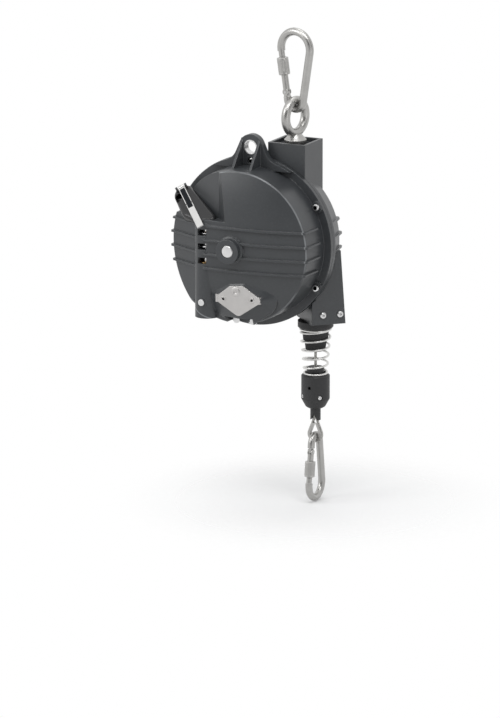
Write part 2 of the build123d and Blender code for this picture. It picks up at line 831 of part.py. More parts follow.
def carabiner_hook(wire, length, width, neck):
    p = carabiner_points(wire, length, width, neck)
    path = Wire([
        Edge.make_line(p["hinge"], p["left_low"]),
        Edge.make_three_point_arc(p["left_low"], p["foot"], p["right_low"]),
        Edge.make_line(p["right_low"], p["right_top"]),
        Edge.make_three_point_arc(p["right_top"], p["crown"], p["left_top"]),
        Edge.make_line(p["left_top"], p["shoulder"]),
    ])
    hook = sweep(Plane(origin=p["hinge"], z_dir=-p["up"]) * Circle(wire), path=path)
    hook += rod(p["shoulder"] + p["up"] * 1, p["nose"], wire * 0.78)
    lean = Plane(origin=p["pivot"], x_dir=(0, 1, 0), z_dir=p["up"])
    tongue = wire * 0.8
    hook += lean * Pos(0, 0, -wire * 1.3) * Box(tongue, wire * 1.5, wire * 1.3, align=BASE)
    side = Plane(origin=p["pivot"], z_dir=(0, 1, 0))
    hook += side * Cylinder(wire * 0.75, tongue)
    hook -= side * Cylinder(wire * 0.28, wire * 4)
    return hook


def gate_radius(wire):
    return wire * 0.85


def carabiner_gate(wire, length, width, neck):
    p = carabiner_points(wire, length, width, neck)
    radius = gate_radius(wire)
    gate = rod(p["pivot"], p["nose"] - p["up"] * gate_clearance, radius)
    side = Plane(origin=p["pivot"], z_dir=(0, 1, 0))
    gate += side * Cylinder(radius, radius * 1.7)
    gate -= side * Cylinder(radius + 0.25, wire * 0.8 + 0.6)
    gate -= side * Cylinder(wire * 0.28 + running_gap, wire * 4)
    return gate


def carabiner_pin(wire, length, width, neck):
    p = carabiner_points(wire, length, width, neck)
    side = Plane(origin=p["pivot"], z_dir=(0, 1, 0))
    return side * Cylinder(wire * 0.28, gate_radius(wire) * 1.7 + 1.0)


def carabiner_sleeve(wire, length, width, neck):
    p = carabiner_points(wire, length, width, neck)
    tall = wire * 4.4
    top = p["nose"] - p["up"] * 1.4
    lean = Plane(origin=top, z_dir=-p["up"])
    sleeve = lean * Cylinder(wire * 1.45, tall, align=BASE)
    sleeve = chamfer(sleeve.edges().filter_by(GeomType.CIRCLE), wire * 0.16)
    return sleeve - lean * Pos(0, 0, -1) * Cylinder(gate_radius(wire) + running_gap, tall + 2, align=BASE)


def top_place(shape):
    return hanger(Pos(0, 0, seat_z) * shape)


def low_place(shape):
    floor = low_top - low_length + 2 * low_wire
    return Pos(rope_x, 0, floor) * Rot(0, 0, 90) * Rot(180, 0, 0) * shape


top_sizes = (top_wire, top_length, top_width, top_neck)
low_sizes = (low_wire, low_length, low_width, low_neck)


# Rope end

def low_bow_centre():
    return low_top - low_wire - low_neck


def thimble_centre():
    inner_bow = low_neck - low_wire - contact_gap
    return low_bow_centre() + sqrt(inner_bow ** 2 - (thimble_width / 2) ** 2) + thimble_inner


def loop_lean():
    """Angle above level at which the loop's straight legs leave its round part."""
    reach_x = rope_radius + 0.1
    rise = neck_bottom + 1 - thimble_centre()
    reach = hypot(reach_x, rise)
    return asin(loop_radius() / reach) - asin(reach_x / reach)


def loop_radius():
    return thimble_inner + thimble_wall + rope_radius


def loop_path(radius, leg):
    """A teardrop round the thimble's centre, open at the top, with straight legs."""
    centre = thimble_centre()
    lean = loop_lean()
    touch_x = radius * cos(lean)
    touch_z = centre + radius * sin(lean)
    top_x = touch_x - leg * sin(lean)
    top_z = touch_z + leg * cos(lean)
    return Wire([
        Edge.make_line((-top_x, 0, top_z), (-touch_x, 0, touch_z)),
        Edge.make_three_point_arc((-touch_x, 0, touch_z), (0, 0, centre - radius), (touch_x, 0, touch_z)),
        Edge.make_line((touch_x, 0, touch_z), (top_x, 0, top_z)),
    ])


def loop_leg():
    rise = neck_bottom + 1 - thimble_centre()
    return (rise - loop_radius() * sin(loop_lean())) / cos(loop_lean())


def thimble():
    path = loop_path(thimble_inner + thimble_wall / 2, loop_leg() - 5)
    start = Plane(origin=path @ 0, x_dir=(0, 1, 0), z_dir=path % 0)
    half = thimble_width / 2
    section = Rectangle(thimble_width, thimble_wall)
    for side in (-1, 1):
        section += Pos(side * (half - thimble_wall / 4), -thimble_wall) * Rectangle(thimble_wall / 2, 3 * thimble_wall)
    eye = sweep(start * section, path=path)
    return Pos(rope_x, 0, 0) * eye


def rope_loop():
    top_z = neck_bottom + 1
    offset = rope_radius + 0.1
    path = loop_path(loop_radius(), loop_leg())
    loop = sweep(Plane(origin=path @ 0, z_dir=path % 0) * Circle(rope_radius), path=path)
    for side in (-1, 1):
        loop += Pos(side * offset, 0, top_z) * Sphere(rope_radius)
        loop += rod((side * offset, 0, top_z), (side * offset, 0, clamp_bottom + 14), rope_radius)
    return Pos(rope_x, 0, 0) * loop


def rope_fall():
    return upright(rope_x, 0, clamp_top - 12, -0.5, rope_radius - 0.1)


def buffer_spring():
    low = clamp_top - clamp_boss + buffer_wire
    top = guide_bottom - buffer_wire - contact_gap
    height = top - low
    slope = (buffer_top_radius - buffer_low_radius) / height
    angle = asin(slope / sqrt(1 + slope ** 2)) * 180 / pi
    path = Helix(height / buffer_turns, height, buffer_low_radius, cone_angle=angle)
    coil = sweep(Plane(origin=path @ 0, z_dir=path % 0) * Circle(buffer_wire), path=path)
    coil += Pos(0, 0, 0) * Torus(buffer_low_radius, buffer_wire)
    coil += Pos(0, 0, height) * Torus(buffer_top_radius, buffer_wire)
    return Pos(rope_x, 0, low) * coil


def clamp_screw_seats():
    for i in range(4):
        angle = 45 + 90 * i
        yield Pos(rope_x, 0, clamp_screw_z) * Rot(0, 0, angle) * Rot(0, 90, 0)


def clamp_body():
    shoulder = clamp_top - clamp_boss
    low = shoulder - clamp_height
    body = about_line(rope_x, (rope_radius, clamp_top), (clamp_boss_radius - 1, clamp_top),
                      (clamp_boss_radius, clamp_top - 1), (clamp_boss_radius, shoulder),
                      (clamp_radius - 2, shoulder), (clamp_radius, shoulder - 2), (clamp_radius, low),
                      (clamp_foot_radius, clamp_bottom + 2), (clamp_foot_radius - 3, clamp_bottom),
                      (neck_radius, clamp_bottom), (neck_radius, clamp_bottom + 8),
                      (2 * rope_radius + 0.3, clamp_bottom + 8), (2 * rope_radius + 0.3, clamp_bottom + 15),
                      (rope_radius, clamp_bottom + 15))
    body -= along_y(rope_x, clamp_hole_z, -clamp_radius - 1, -rope_radius - 6, clamp_hole)
    for seat in clamp_screw_seats():
        body -= seat * Pos(0, 0, clamp_radius - 2) * Cylinder(clamp_screw_radius + 0.3, 4, align=BASE)
        body -= seat * Pos(0, 0, 8) * Cylinder(clamp_screw_radius - 1, clamp_radius, align=BASE)
    return body


def clamp_screws():
    screws = []
    for seat in clamp_screw_seats():
        head = Pos(0, 0, clamp_radius - 2) * Cylinder(clamp_screw_radius, 1.6, align=BASE)
        shank = Pos(0, 0, 8.2) * Cylinder(clamp_screw_radius - 1.05, clamp_radius - 9, align=BASE)
        screws.append(seat * (head + shank))
    return Compound(screws)


def neck_sleeve():
    top = clamp_bottom + 8
    sleeve = upright(rope_x, 0, neck_bottom, top, neck_radius)
    bore = Rectangle(4 * rope_radius + 0.6, 2 * rope_radius + 0.4)
    sleeve -= Pos(rope_x, 0, neck_bottom - 1) * extrude(bore, top - neck_bottom + 2)
    notch = Plane.XZ * polygon((-6.2, 0), (6.2, 0), (0, 9))
    sleeve -= Pos(rope_x, 0, neck_bottom - 0.01) * extrude(notch, 20, both=True)
    return sleeve


# Lock lever, its boss and the zinc plate

def lever_plane():
    """x down the lever, y across it, z away from the cover, at the lever's pin."""
    down = (lever_tip - lever_top).normalized()
    across = Vector(0.757, 0.481, 0.439)
    out = down.cross(across).normalized()
    return Plane(origin=lever_top, x_dir=down, z_dir=out)


def lever_length():
    return (lever_tip - lever_top).length


def lock_boss():
    frame = lever_plane()
    outline = make_hull((Pos(9, 0) * Circle(15)).edges() + (Pos(42, 1) * Circle(17)).edges()
                        + (Pos(72, 13) * Circle(12)).edges())
    body = Pos(0, 0, -lock_depth - 1) * extrude(outline, lock_depth)
    body = fillet(body.edges().group_by(Axis.Z)[-1], 5)
    for side in (-1, 1):
        ear = Rot(90, 0, 0) * Cylinder(lever_barrel, 3)
        body += Pos(0, side * (lever_width / 2 + 2.2), 0) * ear
        body += Pos(0, side * (lever_width / 2 + 2.2), -lever_barrel) * Box(2 * lever_barrel, 3, 2 * lever_barrel)
    body -= Rot(90, 0, 0) * Cylinder(lever_barrel + 0.6, lever_width + 1)
    body -= Rot(90, 0, 0) * Cylinder(lever_pin, 60)
    body = frame * body
    body -= cover_form(0)
    body -= worm_housing()
    body -= about_drum((0, joint_y - cover_flange), (rim_radius, joint_y - cover_flange), (rim_radius, 40), (0, 40))
    for x, z in screw_places():
        body -= along_y(x, z, -120, 0, screw_head_radius + 1)
    for slab in rib_slabs():
        body -= slab & cover_form(-rib_height)
    return body.solids().sort_by(SortBy.VOLUME)[-1]


def lock_pin():
    return lever_plane() * (Rot(90, 0, 0) * Cylinder(lever_pin, lever_width + 7.4))


def lock_lever():
    barrel = Rot(90, 0, 0) * Cylinder(lever_barrel, lever_width)
    blade = Pos(0, 0, 1) * Box(lever_length() + 3, lever_width, lever_thickness,
                               align=(Align.MIN, Align.CENTER, Align.MIN))
    lever = barrel + blade
    for side in (-1, 1):
        lever += Pos(lever_channel / 2, side * (lever_width - lever_rim) / 2, 1) * Box(
            lever_channel, lever_rim, lever_thickness + 1.3, align=BASE)
    lever -= Rot(90, 0, 0) * Cylinder(lever_pin + running_gap, 40)
    return lever_plane() * lever


def plate_screw_places():
    return [(plate_x - 15.0, plate_z - 1), (plate_x + 29.0, plate_z + 1)]


def plate_outline():
    corners = [(-18, -1, 7), (-4, 14, 4), (14, 16, 4), (37, 1, 5), (8, -15, 8)]
    edges = ShapeList()
    for x, z, radius in corners:
        edges += (Pos(plate_x + x, plate_z + z) * Circle(radius)).edges()
    return make_hull(edges)


def plate_tab(gap):
    """The plate's right end, folded back along the seat, or with gap the room it needs."""
    place = Pos(plate_x + 40, plate_back - plate_thickness, plate_z + 1) * Rot(0, 0, 62) * Pos(-gap, -gap, 0)
    return place * Box(9 + 2 * gap, plate_thickness + 2 * gap, 10 + 2 * gap,
                       align=(Align.MIN, Align.MIN, Align.CENTER))


def lock_plate():
    plate = extrude(Plane.XZ.offset(-plate_back) * plate_outline(), plate_thickness)
    front = plate_back - plate_thickness
    plate += plate_tab(0)
    plate += upright(plate_x - 25, front + 1.5, plate_z - 6, plate_z + 5, 2.6)
    plate -= block(plate_x - 60, plate_x + 60, plate_back, 0, plate_z - 60, plate_z + 60) & upright(
        plate_x - 25, front + 1.5, plate_z - 7, plate_z + 6, 3)
    for x, z in plate_screw_places():
        plate -= along_y(x, z, plate_back - 10, plate_back + 1, plate_screw + screw_clearance)
    return plate


def plate_screws():
    screws = []
    front = plate_back - plate_thickness
    for x, z in plate_screw_places():
        head = along_y(x, z, front - 1.8, front, plate_screw * 1.9)
        screws.append(head + along_y(x, z, front - 1, plate_screw_end, plate_screw))
    return Compound(screws)


def recess_bolts():
    bolts = []
    for side in (-1, 1):
        bolts.append(along_y(recess_x + side * 13, recess_top - 8, recess_floor - 5, recess_floor, 5))
    return Compound(bolts)


nodes = {
    "rear_housing": rear_housing,
    "front_cover": front_cover,
    "flange_gasket": flange_gasket,
    "cover_screws": cover_screws,
    "lug_bush": lug_bush,
    "thrust_washer": thrust_washer,
    "front_bush": front_bush,
    "rear_bush": rear_bush,
    "worm_bush_upper": worm_bush_upper,
    "worm_bush_lower": worm_bush_lower,
    "worm_stop_screw": worm_stop_screw,
    "lock_boss": lock_boss,
    "lock_pin": lock_pin,
    "lock_plate": lock_plate,
    "plate_screws": plate_screws,
    "recess_bolts": recess_bolts,
    "rope_guide": rope_guide,
    "guide_flange": guide_flange,
    "guide_screws": guide_screws,
    "rope_bumper": rope_bumper,
    "main_shaft": main_shaft,
    "shaft_bolt": shaft_bolt,
    "worm_wheel": worm_wheel,
    "wheel_key": wheel_key,
    "drum_circlip": drum_circlip,
    "worm": worm,
    "rope_drum": rope_drum,
    "drum_bushes": drum_bushes,
    "wound_rope": wound_rope,
    "spring_case": spring_case,
    "spring_lid": spring_lid,
    "power_spring": power_spring,
    "eye_bolt": eye_bolt,
    "eye_nut": eye_nut,
    "nut_pin": nut_pin,
    "top_hook": lambda: top_place(carabiner_hook(*top_sizes)),
    "top_gate": lambda: top_place(carabiner_gate(*top_sizes)),
    "top_gate_pin": lambda: top_place(carabiner_pin(*top_sizes)),
    "top_sleeve": lambda: top_place(carabiner_sleeve(*top_sizes)),
    "rope_fall": rope_fall,
    "buffer_spring": buffer_spring,
    "clamp_body": clamp_body,
    "clamp_screws": clamp_screws,
    "neck_sleeve": neck_sleeve,
    "thimble": thimble,
    "rope_loop": rope_loop,
    "bottom_hook": lambda: low_place(carabiner_hook(*low_sizes)),
    "bottom_gate": lambda: low_place(carabiner_gate(*low_sizes)),
    "bottom_gate_pin": lambda: low_place(carabiner_pin(*low_sizes)),
    "bottom_sleeve": lambda: low_place(carabiner_sleeve(*low_sizes)),
    "lock_lever": lock_lever,
}

os.makedirs("parts", exist_ok=True)
for name, make in nodes.items():
    placed = Pos(-hang_x, 0, -seat_z) * make()
    export_step(placed, "parts/" + name + ".step")
    print(name)
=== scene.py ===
from math import atan2, cos, pi, radians, sin, tau

import bmesh
import bpy
from mathutils import Matrix, Vector

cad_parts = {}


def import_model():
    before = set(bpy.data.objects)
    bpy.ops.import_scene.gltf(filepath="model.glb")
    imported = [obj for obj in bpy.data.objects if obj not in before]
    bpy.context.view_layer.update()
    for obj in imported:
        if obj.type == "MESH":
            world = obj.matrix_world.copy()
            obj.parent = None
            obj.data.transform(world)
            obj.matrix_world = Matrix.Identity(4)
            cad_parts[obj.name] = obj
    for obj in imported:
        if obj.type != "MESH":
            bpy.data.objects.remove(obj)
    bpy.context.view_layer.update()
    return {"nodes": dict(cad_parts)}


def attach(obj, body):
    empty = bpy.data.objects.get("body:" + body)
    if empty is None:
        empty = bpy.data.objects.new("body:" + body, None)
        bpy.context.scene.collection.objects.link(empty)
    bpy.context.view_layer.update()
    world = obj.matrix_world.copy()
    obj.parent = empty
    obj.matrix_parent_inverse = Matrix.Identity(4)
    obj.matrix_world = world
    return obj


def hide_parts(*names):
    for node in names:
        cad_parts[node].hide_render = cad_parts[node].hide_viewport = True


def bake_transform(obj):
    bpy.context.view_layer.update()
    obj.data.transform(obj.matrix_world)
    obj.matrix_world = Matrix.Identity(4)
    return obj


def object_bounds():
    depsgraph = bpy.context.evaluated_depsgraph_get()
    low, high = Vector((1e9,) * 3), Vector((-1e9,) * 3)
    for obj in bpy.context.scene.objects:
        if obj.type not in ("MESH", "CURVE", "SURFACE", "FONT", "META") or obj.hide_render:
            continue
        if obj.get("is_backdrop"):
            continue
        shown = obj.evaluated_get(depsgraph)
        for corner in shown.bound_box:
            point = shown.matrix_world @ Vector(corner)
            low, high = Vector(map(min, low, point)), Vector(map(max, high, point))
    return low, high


# A spring balancer in a dark cast housing, with its carabiners, rope and buffer
# spring. Metres, in the frame of the solids: the origin is the seat in the top bow.

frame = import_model()
nodes = frame["nodes"]

# Lines and levels of the object, in metres
drum_x = -0.0475
drum_z = -0.2877
rope_x = 0.0316
joint_y = -0.0288
clamp_top = drum_z - 0.180
outlet_turn = radians(45)
face_edge_radius = 0.1071
face_edge_y = -0.0862
plate_face_y = -0.106

# Screws
cover_screw_count = 6
cover_screw_circle = 0.1142
cover_screw_seat = joint_y - 0.009
guide_screw_z = drum_z - 0.0995
guide_screw_pitch = 0.025
guide_screw_face = 0.0312
clamp_screw_count = 4
clamp_screw_z = drum_z - 0.221
clamp_screw_face = 0.018
plate_screw_places = ((-0.0115, -0.070), (0.0325, -0.068))
plate_dimple_x = 0.0075
plate_dimple_z = -0.0585

# Rope: radius, strands and how far each goes in one turn round it
rope_radius = 0.0019
strand_count = 6
strand_radius = 0.0007
strand_circle = 0.00128
strand_lay = 0.024
rope_lay = 0.027
wire_lay = 0.0011
loop_lean = radians(22.135)
loop_radius = 0.0102
loop_z = drum_z - 0.27691
loop_leg = 0.0195
loop_end = 0.028

# Directions of the lock lever: down its length, across it and out of its face
lever_down = Vector((0.651158, -0.590866, -0.47631))
lever_across = Vector((0.758336, 0.481467, 0.43945))
lever_out = Vector((-0.030328, -0.647354, 0.761586))


def about_drum(x, y, z):
    """A place measured from the drum axis, in the object's frame."""
    return Vector((drum_x + x, y, drum_z + z))


lever_pivot = about_drum(-0.1, -0.059, 0.0695)
lever_channel_length = 0.0445
lever_channel_half = 0.0035


# Camera

view_turn = radians(26.602)
view_height = radians(13.613)
view_roll = radians(-0.047)
view_distance = 9.0
view_side = -0.06329
view_up = -0.44712
focal_length = 326.5


def camera():
    side = Vector((cos(view_turn), sin(view_turn), 0))
    back = Vector((sin(view_turn) * cos(view_height), -cos(view_turn) * cos(view_height), sin(view_height)))
    up = back.cross(side)
    rolled_side = side * cos(view_roll) + up * sin(view_roll)
    rolled_up = back.cross(rolled_side)
    lens = bpy.data.cameras.new("camera")
    lens.sensor_width = 36
    lens.lens = focal_length
    lens.clip_end = 100
    eye = bpy.data.objects.new("camera", lens)
    turn = Matrix((rolled_side, rolled_up, back)).transposed().to_4x4()
    place = side * view_side + up * view_up + back * view_distance
    eye.matrix_world = Matrix.Translation(place) @ turn
    bpy.context.scene.collection.objects.link(eye)
    bpy.context.scene.camera = eye
    bpy.context.scene.view_settings.view_transform = "Standard"


# Finishes

class Value:
    """An output socket that takes part in Python sums."""

    def __init__(self, finish, socket):
        self.finish = finish
        self.socket = socket

    def sum(self, operation, first, second=0.0):
        return self.finish.add("ShaderNodeMath", {0: first, 1: second}, operation=operation)

    def __add__(self, other):
        return self.sum("ADD", self, other)

    def __radd__(self, other):
        return self.sum("ADD", other, self)

    def __sub__(self, other):
        return self.sum("SUBTRACT", self, other)

    def __rsub__(self, other):
        return self.sum("SUBTRACT", other, self)

    def __mul__(self, other):
        return self.sum("MULTIPLY", self, other)

    def __rmul__(self, other):
        return self.sum("MULTIPLY", other, self)

    def __truediv__(self, other):
        return self.sum("DIVIDE", self, other)

    def __pow__(self, other):
        return self.sum("POWER", self, other)

    def __abs__(self):
        return self.sum("ABSOLUTE", self)

    def sine(self):
        return self.sum("SINE", self)

    def angle_to(self, other):
        return self.sum("ARCTAN2", self, other)

    def above(self, low, high):
        """0 under low and 1 over high, with a soft step between."""
        return self.finish.add(
            "ShaderNodeMapRange",
            {"Value": self, "From Min": low, "From Max": high},
            interpolation_type="SMOOTHSTEP",
        )


class Nodes:
    """Adds nodes to one tree, of a material or of the world."""

    def __init__(self, tree):
        self.tree = tree

    def put(self, socket, value):
        if isinstance(value, Value):
            self.tree.links.new(value.socket, socket)
        else:
            socket.default_value = value

    def add(self, kind, sockets=None, output=0, stops=None, **settings):
        node = self.tree.nodes.new(kind)
        for name, value in settings.items():
            setattr(node, name, value)
        if stops:
            elements = node.color_ramp.elements
            while len(elements) < len(stops):
                elements.new(0.5)
            for element, (place, colour) in zip(elements, stops):
                element.position = place
                element.color = (*colour, 1)
        for name, value in (sockets or {}).items():
            self.put(node.inputs[name], value)
        return Value(self, node.outputs[output])

    def dot(self, first, second):
        return self.add("ShaderNodeVectorMath", {0: first, 1: second}, output="Value",
                        operation="DOT_PRODUCT")


class Finish(Nodes):
    """One material: its shader and the nodes that feed it."""

    def __init__(self, name, **sockets):
        self.material = bpy.data.materials.new(name)
        self.material.use_nodes = True
        super().__init__(self.material.node_tree)
        self.shader = self.tree.nodes["Principled BSDF"]
        self.object_place = None
        for socket, value in sockets.items():
            self.shader.inputs[socket.replace("_", " ")].default_value = value

    def place(self):
        if self.object_place is None:
            self.object_place = self.add("ShaderNodeTexCoord", output="Object")
        return self.object_place

    def axes(self, centre=(0, 0, 0), turn=(0, 0, 0)):
        moved = self.add("ShaderNodeVectorMath", {0: self.place(), 1: centre}, operation="SUBTRACT")
        turned = self.add("ShaderNodeMapping", {"Vector": moved, "Rotation": turn})
        parts = self.add("ShaderNodeSeparateXYZ", {0: turned})
        outputs = parts.socket.node.outputs
        return [Value(self, outputs[i]) for i in range(3)]

    def noise(self, scale, detail=2.0, stretch=(1, 1, 1), roughness=0.5):
        place = self.add("ShaderNodeVectorMath", {0: self.place(), 1: stretch}, operation="MULTIPLY")
        return self.add("ShaderNodeTexNoise", {"Vector": place, "Scale": scale, "Detail": detail,
                                               "Roughness": roughness})

    def cells(self, scale):
        return self.add("ShaderNodeTexVoronoi", {"Vector": self.place(), "Scale": scale})

    def mix(self, factor, first, second):
        first = first if isinstance(first, Value) else (*first, 1)
        second = second if isinstance(second, Value) else (*second, 1)
        return self.add("ShaderNodeMix", {0: factor, 6: first, 7: second}, output=2, data_type="RGBA")

    def soft_normal(self, radius):
        return self.add("ShaderNodeBevel", {"Radius": radius}, samples=6)

    def edges(self, rounded, low=0.02, high=0.3):
        """1 on the edges of the solid, from how far the rounded normal leans."""
        flat = self.add("ShaderNodeNewGeometry", output="True Normal")
        lean = self.dot(rounded, flat)
        return (1 - lean).above(low, high)

    def bump(self, height, distance, strength=1.0, normal=None):
        sockets = {"Height": height, "Distance": distance, "Strength": strength}
        if normal:
            sockets["Normal"] = normal
        return self.add("ShaderNodeBump", sockets)

    def finish(self, colour=None, roughness=None, normal=None, metallic=None):
        for name, value in (("Base Color", colour), ("Roughness", roughness), ("Normal", normal),
                            ("Metallic", metallic)):
            if value is not None:
                self.put(self.shader.inputs[name], value)
        return self.material


def painted_casting():
    """Dark satin paint, mottled, worn on its edges, with a painted highlight round the edge of the face."""
    paint = Finish("painted casting", IOR=1.5)
    rounded = paint.soft_normal(0.0013)
    worn = paint.edges(rounded, 0.03, 0.22)
    tone = paint.noise(16, 3)
    mottle = paint.noise(320, 3)
    colour = paint.mix(tone, (0.036, 0.039, 0.042), (0.046, 0.049, 0.053))
    colour = paint.mix(mottle.above(0.45, 0.75) * 0.25, colour, (0.062, 0.065, 0.069))
    colour = paint.mix(worn * 0.4, colour, (0.17, 0.175, 0.18))
    # A thin ring round the edge of the face is painted bright: a painted highlight where light would glint
    # on its rounded edge.
    x, y, z = paint.axes((drum_x, 0, drum_z))
    reach = (x * x + z * z) ** 0.5
    face_edge_painted_highlight = 1 - abs(reach - face_edge_radius).above(0.0005, 0.0011)
    face_edge_painted_highlight = face_edge_painted_highlight * (1 - y.above(face_edge_y - 0.0006, face_edge_y))
    colour = paint.mix(face_edge_painted_highlight * tone.above(0.3, 0.6) * 0.75, colour, (0.24, 0.25, 0.26))
    rough = 0.27 + paint.noise(55, 3) * 0.08 + mottle * 0.05 - worn * 0.06
    waves = paint.bump(paint.noise(26, 2), 0.0005, 0.35, rounded)
    grain = paint.bump(paint.noise(1500, 2), 0.00005, 0.6, waves)
    return paint.finish(colour, rough, grain)


def black_plastic():
    plastic = Finish("black plastic", IOR=1.46)
    rounded = plastic.soft_normal(0.0008)
    worn = plastic.edges(rounded)
    cloud = plastic.noise(45, 3)
    colour = plastic.mix(cloud, (0.020, 0.020, 0.021), (0.030, 0.030, 0.031))
    colour = plastic.mix(worn * 0.35, colour, (0.085, 0.085, 0.087))
    rough = 0.46 + cloud * 0.12 - worn * 0.1
    grain = plastic.bump(plastic.noise(2200, 3), 0.00006, 0.7, rounded)
    return plastic.finish(colour, rough, grain)


def lobe_plastic():
    """The lock's moulding: black, smoother and glossier than the other mouldings."""
    plastic = Finish("lobe plastic", IOR=1.5)
    rounded = plastic.soft_normal(0.0016)
    worn = plastic.edges(rounded, 0.03, 0.25)
    cloud = plastic.noise(60, 3)
    colour = plastic.mix(cloud, (0.013, 0.013, 0.014), (0.019, 0.019, 0.020))
    colour = plastic.mix(worn * 0.4, colour, (0.07, 0.07, 0.072))
    rough = 0.20 + cloud * 0.10
    return plastic.finish(colour, rough, plastic.bump(plastic.noise(900, 2), 0.00002, 0.5, rounded))


def black_rubber():
    rubber = Finish("black rubber", IOR=1.45)
    rounded = rubber.soft_normal(0.001)
    bloom = rubber.noise(70, 4)
    drag = rubber.noise(900, 2, (0.1, 0.1, 1))
    colour = rubber.mix(bloom.above(0.3, 0.8), (0.017, 0.017, 0.017), (0.034, 0.034, 0.034))
    rough = 0.62 + bloom * 0.15
    grain = rubber.bump(drag * 0.6 + rubber.noise(1300, 3) * 0.4, 0.0001, 0.6, rounded)
    return rubber.finish(colour, rough, grain)


def seal_rubber():
    seal = Finish("seal rubber", IOR=1.45)
    dust = seal.noise(400, 3)
    colour = seal.mix(dust, (0.015, 0.015, 0.015), (0.03, 0.03, 0.03))
    return seal.finish(colour, 0.6 + dust * 0.2, seal.bump(dust, 0.00005))


def forged_zinc():
    """Bright zinc over forged and drawn steel: satin, faintly pitted, with draw lines down its length."""
    zinc = Finish("forged zinc", Metallic=1.0)
    rounded = zinc.soft_normal(0.0006)
    worn = zinc.edges(rounded, 0.02, 0.25)
    crystals = zinc.cells(420)
    cloud = zinc.noise(60, 4)
    draw = zinc.noise(1800, 2, (1, 1, 0.03))
    pits = zinc.noise(700, 4).above(0.60, 0.72)
    colour = zinc.mix(cloud, (0.36, 0.355, 0.345), (0.49, 0.485, 0.47))
    colour = zinc.mix(pits * 0.35, colour, (0.30, 0.295, 0.285))
    colour = zinc.mix(worn * 0.4, colour, (0.78, 0.78, 0.77))
    rough = 0.27 + crystals * 0.07 + draw * 0.10 + pits * 0.15
    height = draw * 0.5 + crystals * 0.25 - pits * 0.6
    return zinc.finish(colour, rough, zinc.bump(height, 0.00004, 0.6, rounded))


def sleeve_zinc(name, centre, axis):
    """The screw sleeve's finish: fine straight knurling round its own line, between two turned ends."""
    zinc = Finish(name, Metallic=1.0)
    rounded = zinc.soft_normal(0.0006)
    turn = Vector(axis).rotation_difference(Vector((0, 0, 1))).to_euler()
    x, y, z = zinc.axes(centre, turn)
    groove = (y.angle_to(x) * 46).sine()
    band = 1 - abs(z).above(0.0082, 0.0090)
    cloud = zinc.noise(80, 3)
    colour = zinc.mix(cloud, (0.40, 0.395, 0.385), (0.52, 0.515, 0.50))
    # The knurl's grooves are painted darker: painted shade in grooves that are only bumped.
    colour = zinc.mix((0.5 - groove * 0.5) * band * 0.35, colour, (0.26, 0.255, 0.245))
    rough = 0.32 + cloud * 0.1
    normal = zinc.bump(groove * band + cloud * 0.4, 0.00009, 0.7, rounded)
    return zinc.finish(colour, rough, normal)


def lever_steel():
    """The pressed lever: its channel painted near black between bright rims above, as painted shade and dark
    reflection; a brushed tongue below.
    """
    steel = Finish("lever steel", Metallic=1.0)
    rounded = steel.soft_normal(0.0003)
    turn = Matrix((lever_down, lever_across, lever_out)).to_euler()
    down, across, out = steel.axes(lever_pivot, turn)
    side = abs(across)
    channel = 1 - side.above(lever_channel_half, lever_channel_half + 0.0003)
    channel = channel * (1 - down.above(lever_channel_length, lever_channel_length + 0.0005))
    channel = channel * down.above(0.004, 0.005)
    smear = steel.noise(60, 3)
    brushed = steel.noise(1500, 2, (0.3, 0.3, 1))
    colour = steel.mix(smear, (0.62, 0.615, 0.605), (0.78, 0.775, 0.765))
    colour = steel.mix(brushed.above(0.55, 0.75) * 0.3, colour, (0.5, 0.495, 0.485))
    # The channel is painted near black and smoother: painted shade and a painted dark reflection inside the
    # lever's channel.
    colour = steel.mix(channel, colour, (0.022, 0.024, 0.027))
    rough = 0.24 + smear * 0.12 - channel * 0.12
    height = brushed * (1 - channel)
    return steel.finish(colour, rough, steel.bump(height, 0.00002, 0.5, rounded))


def zinc_plate():
    """Pressed sheet: soft rolled grain across, a little bloom, brighter sheared edges."""
    plate = Finish("zinc plate", Metallic=1.0)
    rounded = plate.soft_normal(0.0007)
    worn = plate.edges(rounded)
    bloom = plate.noise(90, 4)
    rolled = plate.noise(1100, 2, (0.05, 1, 1))
    colour = plate.mix(bloom, (0.46, 0.45, 0.44), (0.58, 0.565, 0.555))
    colour = plate.mix(worn * 0.5, colour, (0.86, 0.86, 0.85))
    rough = 0.38 + bloom * 0.10 + rolled * 0.08
    return plate.finish(colour, rough, plate.bump(rolled + bloom * 0.5, 0.00004, 0.6, rounded))


def screw_steel():
    steel = Finish("screw steel", Metallic=1.0)
    rounded = steel.soft_normal(0.0005)
    worn = steel.edges(rounded)
    stain = steel.noise(240, 3)
    colour = steel.mix(stain, (0.60, 0.60, 0.60), (0.76, 0.76, 0.76))
    colour = steel.mix(worn * 0.4, colour, (0.9, 0.9, 0.9))
    rough = 0.24 + stain * 0.14
    return steel.finish(colour, rough, steel.bump(steel.noise(2600, 2), 0.00002, 0.6, rounded))


def turned_steel(name, tone, axis):
    """Machined steel with tool rings along its axis."""
    steel = Finish(name, Metallic=1.0)
    rounded = steel.soft_normal(0.0004)
    along = steel.axes()[axis]
    rings = (along * 9000).sine()
    oil = steel.noise(70, 3)
    colour = steel.mix(oil, [tone * 0.85] * 3, [tone] * 3)
    rough = 0.22 + oil * 0.14 + abs(rings) * 0.04
    return steel.finish(colour, rough, steel.bump(rings, 0.000008, 0.6, rounded))


def spring_steel():
    """Cold-drawn spring wire with its fine die lines and a light oil film."""
    steel = Finish("spring steel", Metallic=1.0)
    film = steel.noise(55, 3)
    lines = steel.noise(3200, 1, (0.05, 0.05, 1))
    colour = steel.mix(film, (0.62, 0.615, 0.60), (0.76, 0.755, 0.74))
    colour = steel.mix(lines.above(0.6, 0.75) * 0.3, colour, (0.42, 0.41, 0.39))
    rough = 0.24 + film * 0.12 + lines * 0.06
    return steel.finish(colour, rough, steel.bump(lines, 0.00002, 0.6))


